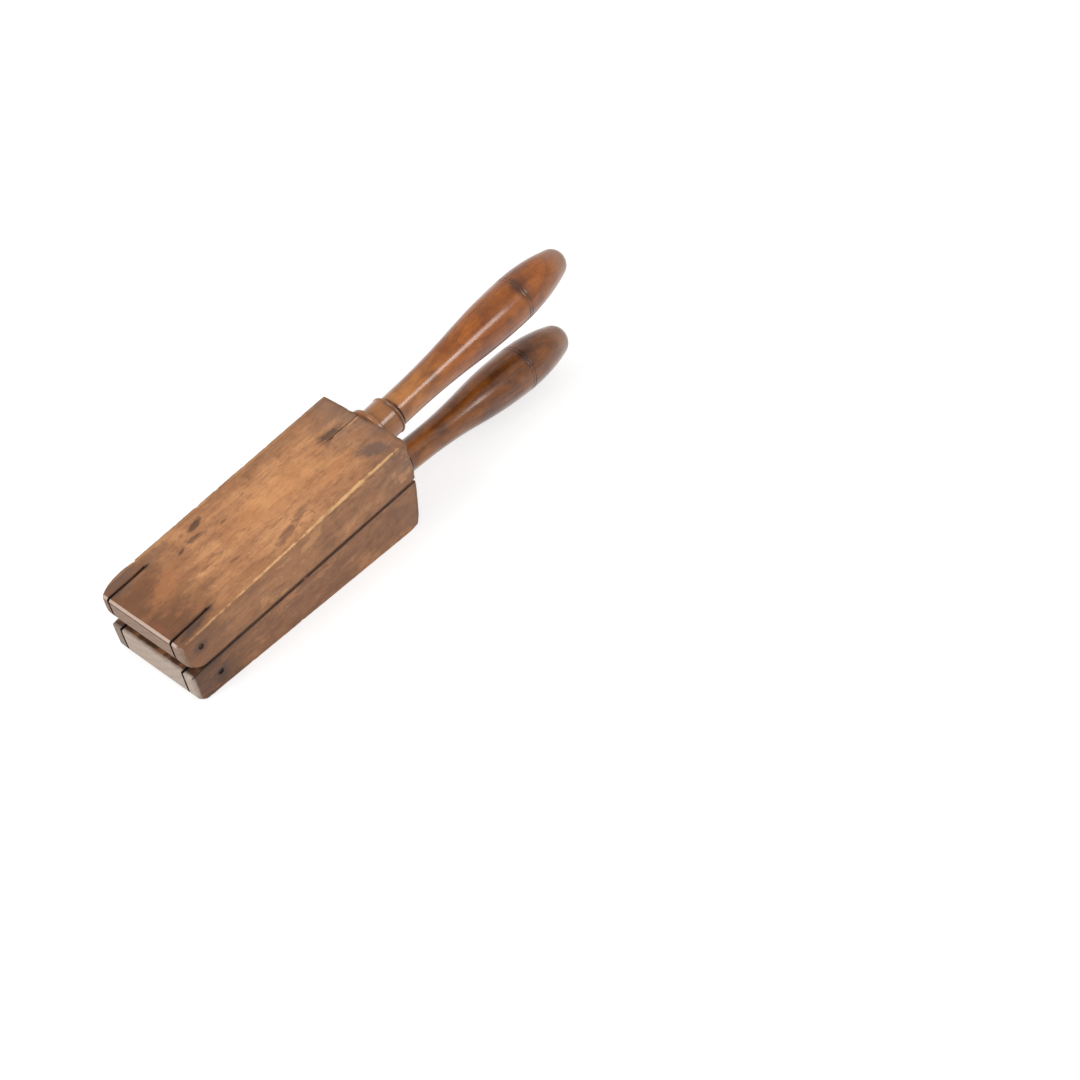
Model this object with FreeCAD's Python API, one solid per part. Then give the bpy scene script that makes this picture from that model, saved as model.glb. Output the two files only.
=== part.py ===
import FreeCAD, Part
import math
import os

from FreeCAD import Vector

os.makedirs("parts", exist_ok=True)

# Lever press for cracking nuts, all sizes in millimetres.
# Two wedge-shaped wooden jaws lie face to face. A pair of iron links, let into saw kerfs at
# the thin end, joins them through two cross pins, and a turned handle stands out of the
# thick end of each jaw.
# The press is modelled on its seam: X runs from the hinge end to the handles, Y to the left
# and Z = 0 lies halfway between the two inner faces. At the end it is laid down on the
# outer face of its lower jaw.

# Jaw boards
jaw_width = 50.4
seam_gap = 0.75
upper_length = 139.0
upper_hinge_thickness = 19.3
upper_handle_thickness = 26.0
lower_length = 139.6
lower_hinge_thickness = 17.7
lower_handle_thickness = 28.9

# Worn and rounded edges of the boards
worn_edge = 0.5
worn_corner = 2.0
upper_heel_round = 11.1
upper_tip_chamfer = 1.3
lower_tip_round = 5.1

# Left ear of the upper jaw, which the saw kerf has let spring outwards
ear_step = 0.4
ear_bulge = 1.3
ear_bulge_from_tip = 12.5
ear_tip_inset = 1.9

# Nut hollows, a pair of facing cups of each size, and the wood left beside each
walnut_cup_diameter = 34.0
walnut_cup_depth = 9.0
hazelnut_cup_diameter = 22.0
hazelnut_cup_depth = 6.0
cup_wall = 6.0

# Hinge: saw kerfs, iron links and cross pins
kerf_width = 1.4
kerf_depth = 21.1
kerf_spacing = 38.4
link_side_clearance = 0.2
link_end_radius = 5.0
pin_diameter = 2.6
pin_end_recess = 0.6
pin_end_chamfer = 0.3
pin_running_clearance = 0.05
upper_pin_from_end = 9.45
upper_pin_height = 12.05
lower_pin_from_end = 13.9
lower_pin_height = 9.9

# Handles: seat on the end grain, round tenon, collar and grip
handle_splay = 4.0
upper_handle_height = 16.5
lower_handle_height = 13.65
tenon_diameter = 13.0
tenon_length = 24.0
tenon_chamfer = 0.8
bore_end_clearance = 1.0
flange_diameter = 24.8
flange_thickness = 2.4
drum_diameter = 19.3
drum_length = 10.6
bead_width = 1.6
bead_height = 0.5
groove_width = 1.5
groove_depth = 0.7
upper_handle_length = 147.5
upper_neck_diameter = 16.5
upper_neck_straight = 7.7
upper_grip_diameter = 24.8
upper_tip_radius = 8.2
lower_handle_length = 145.4
lower_neck_diameter = 15.7
lower_neck_straight = 12.5
lower_grip_diameter = 26.1
lower_tip_radius = 9.2
grip_from_tip = 38.7

# Fine rings scribed round each grip while it was on the lathe
ring_from_tip = 40.0
ring_spacing = 1.9
ring_width = 0.5
ring_depth = 0.3

link_thickness = kerf_width - 2 * link_side_clearance
ear_inner_side = (kerf_spacing + kerf_width) / 2
splay_rise = math.tan(math.radians(handle_splay))
lower_slope = math.atan((lower_handle_thickness - lower_hinge_thickness) / lower_length)

# The hazelnut cups lie just past the kerfs, and the walnut cups just short of the tenon bores
bore_end_from_hinge = min(upper_length, lower_length) - tenon_length - bore_end_clearance
hazelnut_cup_from_hinge = kerf_depth + cup_wall + hazelnut_cup_diameter / 2
walnut_cup_from_hinge = bore_end_from_hinge - cup_wall - walnut_cup_diameter / 2


def lower_part(shape):
    """The lower half is the same construction, reflected in the seam."""
    return shape.mirror(Vector(0, 0, 0), Vector(0, 0, 1))


def lay_down(shape):
    """Turn the lower jaw's outer face level and put its middle on the origin."""
    face_height = seam_gap / 2 + (lower_hinge_thickness + lower_handle_thickness) / 2
    laid = shape.copy()
    laid.translate(Vector(-lower_length / 2, 0, face_height))
    laid.rotate(Vector(0, 0, 0), Vector(0, -1, 0), math.degrees(lower_slope))
    return laid


def prism(points, direction):
    """Straight body on a flat outline of points."""
    outline = Part.makePolygon(points + [points[0]])
    return Part.Face(outline).extrude(direction)


def arc_through(first, middle, last):
    """Circular edge through three points."""
    return Part.Arc(first, middle, last).toShape()


def end_face_x(length, thickness, height):
    """Where the handle end, cut square to the handle, stands at a height above the seam."""
    middle = seam_gap / 2 + thickness / 2
    return length + (middle - height) * splay_rise


def wedge_board(length, hinge_thickness, handle_thickness, extra_left):
    """Board that thickens from the hinge end to the handle end, with a flat inner face."""
    inner = seam_gap / 2
    hinge_top = inner + hinge_thickness
    taper = (handle_thickness - hinge_thickness) / length
    middle_to_hinge_top = inner + handle_thickness / 2 - hinge_top
    top_x = (length + middle_to_hinge_top * splay_rise) / (1 + taper * splay_rise)
    corners = [
        Vector(0, -jaw_width / 2, inner),
        Vector(end_face_x(length, handle_thickness, inner), -jaw_width / 2, inner),
        Vector(top_x, -jaw_width / 2, hinge_top + taper * top_x),
        Vector(0, -jaw_width / 2, hinge_top),
    ]
    return prism(corners, Vector(0, jaw_width + extra_left, 0))


def edges_across(board, height):
    """Edges that run across the hinge end at a height above the seam."""
    found = []
    for edge in board.Edges:
        box = edge.BoundBox
        if box.XMax < 0.01 and box.YLength > jaw_width / 2 and abs(box.ZMax - height) < 0.01:
            found.append(edge)
    return found


def long_edges(board, length):
    """The worn edges along both sides of a board."""
    return [edge for edge in board.Edges if edge.BoundBox.XLength > length / 2]


def near_end_corner(board, length):
    """The upright edge at the right-hand side of the handle end."""
    found = []
    for edge in board.Edges:
        box = edge.BoundBox
        if box.XMin > length / 2 and box.YMax < 0 and box.ZLength > 5 * worn_edge:
            found.append(edge)
    return found


def sprung_ear(blank):
    """Left ear outside the saw kerf: its side bulges out from a small step and draws in to the tip."""
    half = jaw_width / 2
    step = Vector(kerf_depth, half + ear_step, 0)
    bulge = Vector(ear_bulge_from_tip, half + ear_bulge, 0)
    tip = Vector(0, half - ear_tip_inset, 0)
    inner_tip = Vector(0, ear_inner_side, 0)
    inner_root = Vector(kerf_depth, ear_inner_side, 0)
    plan = Part.Wire([
        arc_through(step, bulge, tip),
        Part.makeLine(tip, inner_tip),
        Part.makeLine(inner_tip, inner_root),
        Part.makeLine(inner_root, step),
    ])
    return Part.Face(plan).extrude(Vector(0, 0, blank.BoundBox.ZMax + jaw_width)).common(blank)


def tip_chamfer_cutter():
    """Bar that takes the sharp corner off the upper jaw's hinge end, on its outer face."""
    size = upper_tip_chamfer
    corner = seam_gap / 2 + upper_hinge_thickness
    triangle = [
        Vector(-size, -jaw_width, corner - 2 * size),
        Vector(2 * size, -jaw_width, corner + size),
        Vector(-size, -jaw_width, corner + size),
    ]
    return prism(triangle, Vector(0, 2 * jaw_width, 0))


def upper_blank(extra_left):
    """Upper wedge with its heel rounded, so that it can roll open on the links."""
    blank = wedge_board(upper_length, upper_hinge_thickness, upper_handle_thickness, extra_left)
    return blank.makeFillet(upper_heel_round, edges_across(blank, seam_gap / 2))


def upper_board():
    """Upper wedge with worn edges, its own left ear and a chamfer on the tip."""
    board = upper_blank(0)
    board = board.makeFillet(worn_corner, near_end_corner(board, upper_length))
    board = board.makeFillet(worn_edge, long_edges(board, upper_length))
    ear = sprung_ear(upper_blank(2 * ear_bulge))
    ear_room = Part.makeBox(2 * kerf_depth, jaw_width, board.BoundBox.ZMax + jaw_width)
    ear_room.translate(Vector(-kerf_depth, ear_inner_side, 0))
    board = board.cut(ear_room).fuse(ear).removeSplitter()
    return board.cut(tip_chamfer_cutter())


def lower_board():
    """Lower wedge, made above the seam like the upper one: square heel and a rounded tip."""
    inner = seam_gap / 2
    board = wedge_board(lower_length, lower_hinge_thickness, lower_handle_thickness, 0)
    tip_edges = edges_across(board, inner + lower_hinge_thickness)
    board = board.makeFillet(lower_tip_round, tip_edges)
    return board.makeFillet(worn_edge, long_edges(board, lower_length))


def kerf(side, height):
    """One saw cut from the hinge end, right through the thickness of a board."""
    cut = Part.makeBox(2 * kerf_depth, kerf_width, height)
    cut.translate(Vector(-kerf_depth, side * kerf_spacing / 2 - kerf_width / 2, 0))
    return cut


def cross_pin(from_end, height, diameter, length):
    """Straight round bar across the jaws, with its middle on the centre line."""
    start = Vector(from_end, -length / 2, height)
    return Part.makeCylinder(diameter / 2, length, start, Vector(0, 1, 0))


def nut_cup(diameter, depth, from_hinge):
    """Ball that scoops one round cup out of an inner face."""
    ball_radius = (diameter ** 2 / 4 + depth ** 2) / (2 * depth)
    centre = Vector(from_hinge, 0, seam_gap / 2 + depth - ball_radius)
    return Part.makeSphere(ball_radius, centre)


def on_handle_axis(shape, seat_x, seat_height):
    """Tilt a shape turned about X by the splay and set its seat on the end face."""
    placed = shape.copy()
    placed.rotate(Vector(0, 0, 0), Vector(0, -1, 0), handle_splay)
    placed.translate(Vector(seat_x, 0, seat_height))
    return placed


def tenon_bore(seat_x, seat_height):
    """Blind round hole in the end grain that the tenon is driven into."""
    depth = tenon_length + bore_end_clearance
    bore = Part.makeCylinder(tenon_diameter / 2, depth, Vector(-depth, 0, 0), Vector(1, 0, 0))
    return on_handle_axis(bore, seat_x, seat_height)


def jaw(board, pin_from_end, pin_height, seat_x, seat_height):
    """Cut the kerfs, the pin hole, the nut cups and the tenon bore into a board."""
    through = board.BoundBox.ZMax + jaw_width
    cutters = [
        kerf(-1, through),
        kerf(1, through),
        cross_pin(pin_from_end, pin_height, pin_diameter, 2 * jaw_width),
        nut_cup(walnut_cup_diameter, walnut_cup_depth, walnut_cup_from_hinge),
        nut_cup(hazelnut_cup_diameter, hazelnut_cup_depth, hazelnut_cup_from_hinge),
        tenon_bore(seat_x, seat_height),
    ]
    for cutter in cutters:
        board = board.cut(cutter)
    return board


def hinge_pin(from_end, height):
    """Iron pin, a little shorter than the jaw is wide, with its ends broken."""
    length = jaw_width - 2 * pin_end_recess
    pin = cross_pin(from_end, height, pin_diameter, length)
    rims = [edge for edge in pin.Edges if edge.BoundBox.YLength < 0.01]
    return pin.makeChamfer(pin_end_chamfer, rims)


def link_plate(side):
    """Flat iron link with round ends that holds both pins at their distance."""
    top = Vector(upper_pin_from_end, 0, upper_pin_height)
    foot = Vector(lower_pin_from_end, 0, -lower_pin_height)
    along = (top - foot).normalize()
    across = Vector(along.z, 0, -along.x) * link_end_radius
    crown = along * link_end_radius
    outline = Part.Wire([
        Part.makeLine(foot + across, top + across),
        arc_through(top + across, top + crown, top - across),
        Part.makeLine(top - across, foot - across),
        arc_through(foot - across, foot - crown, foot + across),
    ])
    plate = Part.Face(outline).extrude(Vector(0, link_thickness, 0))
    plate.translate(Vector(0, side * kerf_spacing / 2 - link_thickness / 2, 0))
    hole_diameter = pin_diameter + 2 * pin_running_clearance
    for centre in (top, foot):
        hole = cross_pin(centre.x, centre.z, hole_diameter, 2 * jaw_width)
        plate = plate.cut(hole)
    return plate


def turning_point(x, radius):
    """Point of a turned outline, at a distance along the handle and a radius."""
    return Vector(x, 0, radius)


def swelling_edges(start_x, start_radius, end_x, end_radius):
    """Hollow arc flowing into an equal round one, level at both ends: the stem of the grip."""
    run = end_x - start_x
    rise = end_radius - start_radius
    sweep_radius = (run ** 2 + rise ** 2) / (4 * rise)
    quarter_rise = sweep_radius - math.sqrt(sweep_radius ** 2 - (run / 4) ** 2)
    start = turning_point(start_x, start_radius)
    hollow = turning_point(start_x + run / 4, start_radius + quarter_rise)
    turn = turning_point(start_x + run / 2, start_radius + rise / 2)
    full = turning_point(end_x - run / 4, end_radius - quarter_rise)
    end = turning_point(end_x, end_radius)
    return [arc_through(start, hollow, turn), arc_through(turn, full, end)]


def nose_radius(grip, tip_radius):
    """Long arc from the fullest place of the grip that runs smoothly into the tip's own arc."""
    reach = grip_from_tip - tip_radius
    return (reach ** 2 + grip ** 2 - tip_radius ** 2) / (2 * (grip - tip_radius))


def nose_height(grip, long_radius, past):
    """Radius of the grip a short distance to either side of its fullest place."""
    return grip - long_radius + math.sqrt(long_radius ** 2 - past ** 2)


def nose_edges(grip_x, grip, tip_radius):
    """The grip's rounded end: the long arc, then the small round of the tip on the axis."""
    long_radius = nose_radius(grip, tip_radius)
    tip_centre_x = grip_x + grip_from_tip - tip_radius
    turn = math.atan2(tip_centre_x - grip_x, long_radius - grip)
    meet_x = grip_x + long_radius * math.sin(turn)
    meet = turning_point(meet_x, nose_height(grip, long_radius, meet_x - grip_x))
    half_way = (meet_x - grip_x) / 2
    long_middle = turning_point(grip_x + half_way, nose_height(grip, long_radius, half_way))
    tip_turn = (math.pi / 2 - turn) / 2
    tip_middle = turning_point(
        tip_centre_x + tip_radius * math.cos(tip_turn), tip_radius * math.sin(tip_turn))
    tip = turning_point(tip_centre_x + tip_radius, 0)
    return [arc_through(turning_point(grip_x, grip), long_middle, meet), arc_through(meet, tip_middle, tip)]


def turned(edges):
    """Solid turned about X from the edges of a closed outline."""
    outline = Part.Face(Part.Wire(edges))
    return outline.revolve(Vector(0, 0, 0), Vector(1, 0, 0), 360)


def scribed_ring(x, radius):
    """Shallow V groove round the grip."""
    corners = [
        turning_point(x - ring_width, radius + ring_depth),
        turning_point(x, radius - ring_depth),
        turning_point(x + ring_width, radius + ring_depth),
    ]
    return turned(Part.makePolygon(corners + [corners[0]]).Edges)


def turned_handle(length, neck_diameter, neck_straight, grip_diameter, tip_radius):
    """Handle turned about X with its seat at X = 0: tenon, flange, drum, bead, neck and grip."""
    tenon = tenon_diameter / 2
    drum = drum_diameter / 2
    neck = neck_diameter / 2
    grip = grip_diameter / 2
    drum_end = flange_thickness + drum_length
    bead_end = drum_end + bead_width
    groove_end = bead_end + groove_width
    neck_end = groove_end + neck_straight
    grip_x = length - grip_from_tip
    seat_to_drum = [
        turning_point(-tenon_length, 0),
        turning_point(-tenon_length, tenon - tenon_chamfer),
        turning_point(-tenon_length + tenon_chamfer, tenon),
        turning_point(0, tenon),
        turning_point(0, flange_diameter / 2),
        turning_point(flange_thickness, flange_diameter / 2),
        turning_point(flange_thickness, drum),
        turning_point(drum_end, drum),
    ]
    bead_top = turning_point(drum_end + bead_width / 2, drum + bead_height)
    bead_foot = turning_point(bead_end, drum)
    groove_start = turning_point(bead_end, neck)
    groove_floor = turning_point(bead_end + groove_width / 2, neck - groove_depth)
    neck_start = turning_point(groove_end, neck)
    tip = turning_point(length, 0)
    edges = Part.makePolygon(seat_to_drum).Edges
    edges.append(arc_through(seat_to_drum[-1], bead_top, bead_foot))
    edges.append(Part.makeLine(bead_foot, groove_start))
    edges.append(arc_through(groove_start, groove_floor, neck_start))
    edges.append(Part.makeLine(neck_start, turning_point(neck_end, neck)))
    edges.extend(swelling_edges(neck_end, neck, grip_x, grip))
    edges.extend(nose_edges(grip_x, grip, tip_radius))
    edges.append(Part.makeLine(tip, seat_to_drum[0]))
    handle = turned(edges)
    long_radius = nose_radius(grip, tip_radius)
    for side in (-0.5, 0.5):
        past_grip = grip_from_tip - ring_from_tip + side * ring_spacing
        surface = nose_height(grip, long_radius, past_grip)
        handle = handle.cut(scribed_ring(grip_x + past_grip, surface))
    return handle


upper_seat_x = end_face_x(upper_length, upper_handle_thickness, upper_handle_height)
lower_seat_x = end_face_x(lower_length, lower_handle_thickness, lower_handle_height)
upper_jaw = jaw(upper_board(), upper_pin_from_end, upper_pin_height, upper_seat_x, upper_handle_height)
lower_jaw = jaw(lower_board(), lower_pin_from_end, lower_pin_height, lower_seat_x, lower_handle_height)
upper_handle = turned_handle(
    upper_handle_length, upper_neck_diameter, upper_neck_straight, upper_grip_diameter,
    upper_tip_radius)
lower_handle = turned_handle(
    lower_handle_length, lower_neck_diameter, lower_neck_straight, lower_grip_diameter,
    lower_tip_radius)

nodes = {
    "upper_jaw": upper_jaw,
    "lower_jaw": lower_part(lower_jaw),
    "upper_handle": on_handle_axis(upper_handle, upper_seat_x, upper_handle_height),
    "lower_handle": lower_part(on_handle_axis(lower_handle, lower_seat_x, lower_handle_height)),
    "left_link_plate": link_plate(1),
    "right_link_plate": link_plate(-1),
    "upper_hinge_pin": hinge_pin(upper_pin_from_end, upper_pin_height),
    "lower_hinge_pin": lower_part(hinge_pin(lower_pin_from_end, lower_pin_height)),
}

for name, shape in nodes.items():
    lay_down(shape).exportStep(f"parts/{name}.step")
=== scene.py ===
import bmesh
import bpy
import math
import random
from mathutils import Matrix, Vector
from mathutils.noise import noise as waver


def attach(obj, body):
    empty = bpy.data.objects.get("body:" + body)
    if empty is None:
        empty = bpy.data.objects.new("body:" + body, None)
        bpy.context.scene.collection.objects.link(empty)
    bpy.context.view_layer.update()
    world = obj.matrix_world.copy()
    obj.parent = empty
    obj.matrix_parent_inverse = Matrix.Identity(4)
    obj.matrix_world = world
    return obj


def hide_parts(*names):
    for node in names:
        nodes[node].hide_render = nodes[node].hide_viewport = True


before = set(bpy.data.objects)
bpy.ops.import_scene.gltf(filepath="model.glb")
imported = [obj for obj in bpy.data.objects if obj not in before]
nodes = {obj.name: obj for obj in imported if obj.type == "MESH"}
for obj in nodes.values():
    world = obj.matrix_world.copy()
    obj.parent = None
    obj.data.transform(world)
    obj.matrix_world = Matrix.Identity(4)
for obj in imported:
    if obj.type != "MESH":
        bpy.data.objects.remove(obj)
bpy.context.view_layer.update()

# JAWS
# Two wedge-shaped boards of close-grained fruitwood that lie face to face, sawn, planed and waxed long ago.
# Each has two saw kerfs for the links, a cross hole for its pin, two nut cups and a bore for a tenon.
# Sizes are in millimetres: x along the seam from the hinge end, y to the left, z up from the seam.
jaw_width = 50.4
seam_gap = 0.75
upper_board = {"length": 139.0, "thin": 19.3, "thick": 26.0, "side": 1,
               "pin_along": 9.45, "pin_height": 12.05, "seat_height": 16.5}
lower_board = {"length": 139.6, "thin": 17.7, "thick": 28.9, "side": -1,
               "pin_along": 13.9, "pin_height": 9.9, "seat_height": 13.65}
handle_splay = math.radians(4.0)
lower_slope = math.atan((lower_board["thick"] - lower_board["thin"]) / lower_board["length"])
half_width = jaw_width / 2


def laid(x, y, z):
    """Row-frame point in metres for a point on the seam, once the press lies on its lower jaw."""
    x -= lower_board["length"] / 2
    z += seam_gap / 2 + (lower_board["thin"] + lower_board["thick"]) / 2
    lean, rise = math.cos(lower_slope), math.sin(lower_slope)
    return Vector((x * lean - z * rise, y, x * rise + z * lean)) * 0.001


def stations(length, step, fine, margin, extra=()):
    """Places from 0 to a length, close together near both ends and at a wider step between."""
    close = int(round(margin / fine))
    wide = int(math.ceil((length - 2 * margin) / step))
    places = [i * fine for i in range(close)] + [length - i * fine for i in range(close)]
    places += [margin + (length - 2 * margin) * i / wide for i in range(wide + 1)]
    places = [p for p in places if all(abs(p - e) > 0.4 * fine for e in extra)]
    return sorted(places + list(extra))


def as_piece(name, shell):
    """Puts finished mesh work into the scene as one piece."""
    mesh = bpy.data.meshes.new(name)
    shell.to_mesh(mesh)
    shell.free()
    piece = bpy.data.objects.new(name, mesh)
    bpy.context.scene.collection.objects.link(piece)
    return piece


def skin(name, xs, ys, zs, bend):
    """Closed mesh over a block of stations, each corner put where bend says."""
    shell = bmesh.new()
    corners = {}

    def corner(i, j, k):
        if (i, j, k) not in corners:
            corners[i, j, k] = shell.verts.new(bend(xs[i], ys[j], zs[k]))
        return corners[i, j, k]

    last = (len(xs) - 1, len(ys) - 1, len(zs) - 1)
    for first, second, third in ((0, 1, 2), (1, 2, 0), (2, 0, 1)):
        for level in (0, last[third]):
            for a in range(last[first]):
                for b in range(last[second]):
                    around = []
                    for step_a, step_b in ((0, 0), (1, 0), (1, 1), (0, 1)):
                        key = [0, 0, 0]
                        key[first], key[second], key[third] = a + step_a, b + step_b, level
                        around.append(corner(*key))
                    shell.faces.new(around)
    bmesh.ops.recalc_face_normals(shell, faces=shell.faces)
    return as_piece(name, shell)


def cut(piece, cutter):
    """Takes the cutter's solid out of a piece, for good."""
    change = piece.modifiers.new("cut", "BOOLEAN")
    change.operation = "DIFFERENCE"
    change.solver = "EXACT"
    change.object = cutter
    ready = bpy.context.evaluated_depsgraph_get()
    solid = bpy.data.meshes.new_from_object(piece.evaluated_get(ready))
    piece.modifiers.clear()
    piece.data = solid
    bpy.data.objects.remove(cutter)


def bar(name, start, end, radius, around=48):
    """Round bar between two row-frame points, used as a cutter."""
    shell = bmesh.new()
    run = end - start
    place = Matrix.Translation((start + end) / 2) @ run.to_track_quat("Z", "Y").to_matrix().to_4x4()
    bmesh.ops.create_cone(shell, cap_ends=True, segments=around, radius1=radius, radius2=radius,
                          depth=run.length, matrix=place)
    return as_piece(name, shell)


def ball(name, centre, radii):
    """Ball or lens with its three half sizes along X, Y and Z, used as a cutter."""
    shell = bmesh.new()
    place = Matrix.Translation(centre) @ Matrix.Diagonal((*radii, 1))
    bmesh.ops.create_uvsphere(shell, u_segments=96, v_segments=64, radius=1.0, matrix=place)
    return as_piece(name, shell)


def weld(piece):
    """Joins the corners that cutting left less than a thousandth of a millimetre apart."""
    shell = bmesh.new()
    shell.from_mesh(piece.data)
    bmesh.ops.remove_doubles(shell, verts=shell.verts, dist=0.000001)
    shell.to_mesh(piece.data)
    shell.free()


def finish_faces(piece, sharp_angle):
    """Smooth shading that breaks only at real corners."""
    piece.data.shade_smooth()
    piece.data.set_sharp_from_angle(angle=math.radians(sharp_angle))


def upper_wear(x, right, left, height, above):
    """Radius of the worn edge near a place on the upper jaw."""
    radius = 0.35
    held = 0.55 + 1.0 * math.exp(-((x - 97) / 17) ** 2) + 0.35 * waver(Vector((x / 7, 3.1, 0)))
    radius += max(held, 0.1) * math.exp(-(right ** 2 + above ** 2) / 18)
    corner = math.exp(-((upper_board["length"] - x) ** 2 + right ** 2) / 22)
    radius += 2.4 * corner * (0.4 + 0.6 * math.exp(-above / 9))
    radius += 0.9 * math.exp(-(x ** 2 + right ** 2) / 9) + 0.5 * math.exp(-(x ** 2 + left ** 2) / 9)
    radius += 1.0 * math.exp(-(x ** 2 + above ** 2 + min(right, left) ** 2) / 9)
    return radius


def lower_wear(x, right, left, height, above):
    """Radius of the worn edge near a place on the lower jaw."""
    radius = 0.4 + 0.12 * waver(Vector((x / 9, 8.4, 0)))
    radius += 0.8 * math.exp(-(x ** 2 + right ** 2) / 9) + 0.5 * math.exp(-(x ** 2 + left ** 2) / 9)
    from_end = lower_board["length"] - x
    radius += 0.8 * math.exp(-(from_end ** 2 + height ** 2) / 12)
    radius += 2.2 * math.exp(-(from_end ** 2 + above ** 2 + right ** 2) / 22)
    return radius


# Upper heel and chamfer, lower tip, and the upper jaw's left side with its sprung ear outside the kerf
upper_heel_round = 11.1
lower_tip_round = 5.1
upper_tip_chamfer = 0.85
ear_inner_side = 19.9
left_stand_out = 1.15
kerf_depth = 21.1


def rounded(along, up, radius):
    """Pulls the square corner at (0, 0) in to a round one."""
    if along >= radius or up >= radius:
        return along, up
    out_along, out_up = radius - along, radius - up
    share = max(out_along, out_up) / math.hypot(out_along, out_up)
    return radius - out_along * share, radius - out_up * share


def ear_spring(x):
    """How far the left side of the upper jaw, and its ear as far as the kerf goes, stands out."""
    return -1.9 + 0.4697 * x - 0.01709 * x * x if x < kerf_depth else left_stand_out


def board_bend(board, wear, dents, seed):
    """Function that puts a point of the plain block on the worn surface of a jaw."""
    length, thin, thick, side = board["length"], board["thin"], board["thick"], board["side"]
    offset = Vector((seed, 0, 0))

    def bend(x, y, share):
        thickness = thin + (thick - thin) * x / length
        height = share * thickness
        radius = wear(x, half_width + y, half_width - y, height, thickness - height)
        core = (min(max(x, radius), length - radius),
                min(max(y, radius - half_width), half_width - radius),
                min(max(height, radius), thickness - radius))
        out = Vector((x - core[0], y - core[1], height - core[2]))
        near = sorted((x, length - x, half_width - y, half_width + y, height, thickness - height))[1]
        direction = out.normalized()
        point = Vector(core) + direction * min(out.length, radius)
        hollow = 0.05 + 0.05 * waver(Vector((x / 16, y / 11, height / 11)) + offset)
        hollow += 0.11 * math.exp(-near / 0.9) * (1 + waver(Vector((x, y, height)) / 1.7 + offset))
        for dent_x, dent_y, dent_height, reach, depth in dents:
            up_off = height - dent_height * thickness
            far = math.sqrt((x - dent_x) ** 2 + (y - dent_y) ** 2 + up_off ** 2) / reach
            if far < 1:
                hollow += depth * (1 - far * far) ** 2
        point -= direction * hollow
        x, y, height = point
        if side > 0:
            x, height = rounded(x, height, upper_heel_round)
            spare = upper_tip_chamfer - x - (thin - height)
            if spare > 0 and x < 3:
                x, height = x + spare / 2, height - spare / 2
            end_lean = 0.9 - 0.5 * height / thick
            height += 0.4 * x / length * height / thick
            if y > ear_inner_side:
                share_out = (y - ear_inner_side) / (half_width - ear_inner_side)
                y = ear_inner_side + share_out * (half_width + ear_spring(x) - ear_inner_side)
        else:
            end_lean = 0
            x, above = rounded(x, thickness - height, lower_tip_round)
            height = thickness - above
        x += (x / length) ** 2 * ((thick / 2 - height) * math.tan(handle_splay) + end_lean)
        return laid(x, y, side * (seam_gap / 2 + height))

    return bend


def worn_jaw(name, board, wear, dents, seed):
    """The jaw's own board, before anything is cut into it."""
    length = board["length"]
    step_marks = (kerf_depth - 0.06, kerf_depth + 0.06)
    xs = stations(length, 1.0, 0.3, 1.8, step_marks)
    ys = [y - half_width for y in stations(jaw_width, 1.1, 0.3, 1.8)]
    middle = (board["thin"] + board["thick"]) / 2
    shares = [h / middle for h in stations(middle, 1.0, 0.3, 1.5)]
    return skin(name, xs, ys, shares, board_bend(board, wear, dents, seed))


# Saw kerfs, a little wavy as a hand saw leaves them, and the cups, cross hole and bore
kerf_spacing = 38.4
kerf_half_width = 0.58
kerf_belly = 0.08
pin_diameter = 2.6
hole_slack = 0.03
cups = [(91.0, 34.0, 9.0), (38.1, 22.0, 6.0)]
tenon_diameter = 13.0
tenon_length = 24.0


def saw_kerf(side, hand, thickness, drift):
    """Cutter for one kerf: hand is the side of the jaw, drift the way it wanders towards its root."""
    def bend(x, y, z):
        share = x / kerf_depth
        middle = hand * kerf_spacing / 2 + 0.05 * waver(Vector((x / 4, hand * 5, side)))
        middle += drift * max(share, 0) ** 4
        half = kerf_half_width + kerf_belly * math.sin(math.pi * min(max(share, 0), 1))
        half += 0.02 * waver(Vector((x / 1.5, hand, z / 3)))
        root = 0.25 * waver(Vector((z / 4, hand, 2.0))) if x > kerf_depth - 1 else 0
        return laid(x + root, middle + y * half, side * z)
    xs = [-4, -2] + [i * kerf_depth / 26 for i in range(27)]
    zs = [-6 + i * (thickness + 12) / 24 for i in range(25)]
    return skin("kerf", xs, [-1, 0, 1], zs, bend)


def split(side, points, width, depth, across_grain=False):
    """Cutter for a crack: a thin blade that follows points, each with its distance from the seam."""
    def bend(along, thick, deep):
        share = along * (len(points) - 1)
        first = min(int(share), len(points) - 2)
        a, b = Vector(points[first]), Vector(points[first + 1])
        x, y, z = a.lerp(b, share - first)
        body = width * (0.35 + 0.65 * math.sin(math.pi * along)) * thick
        if across_grain:
            return laid(x + deep * depth, y, side * (z + body + 0.15 * waver(Vector((y / 2.5, 1, 0)))))
        return laid(x, y + body + 0.25 * waver(Vector((x / 3, 1, 0))), side * (z - deep * depth))
    return skin("split", [i / 30 for i in range(31)], [-0.5, 0.5], [-0.6, 0, 1], bend)


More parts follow.
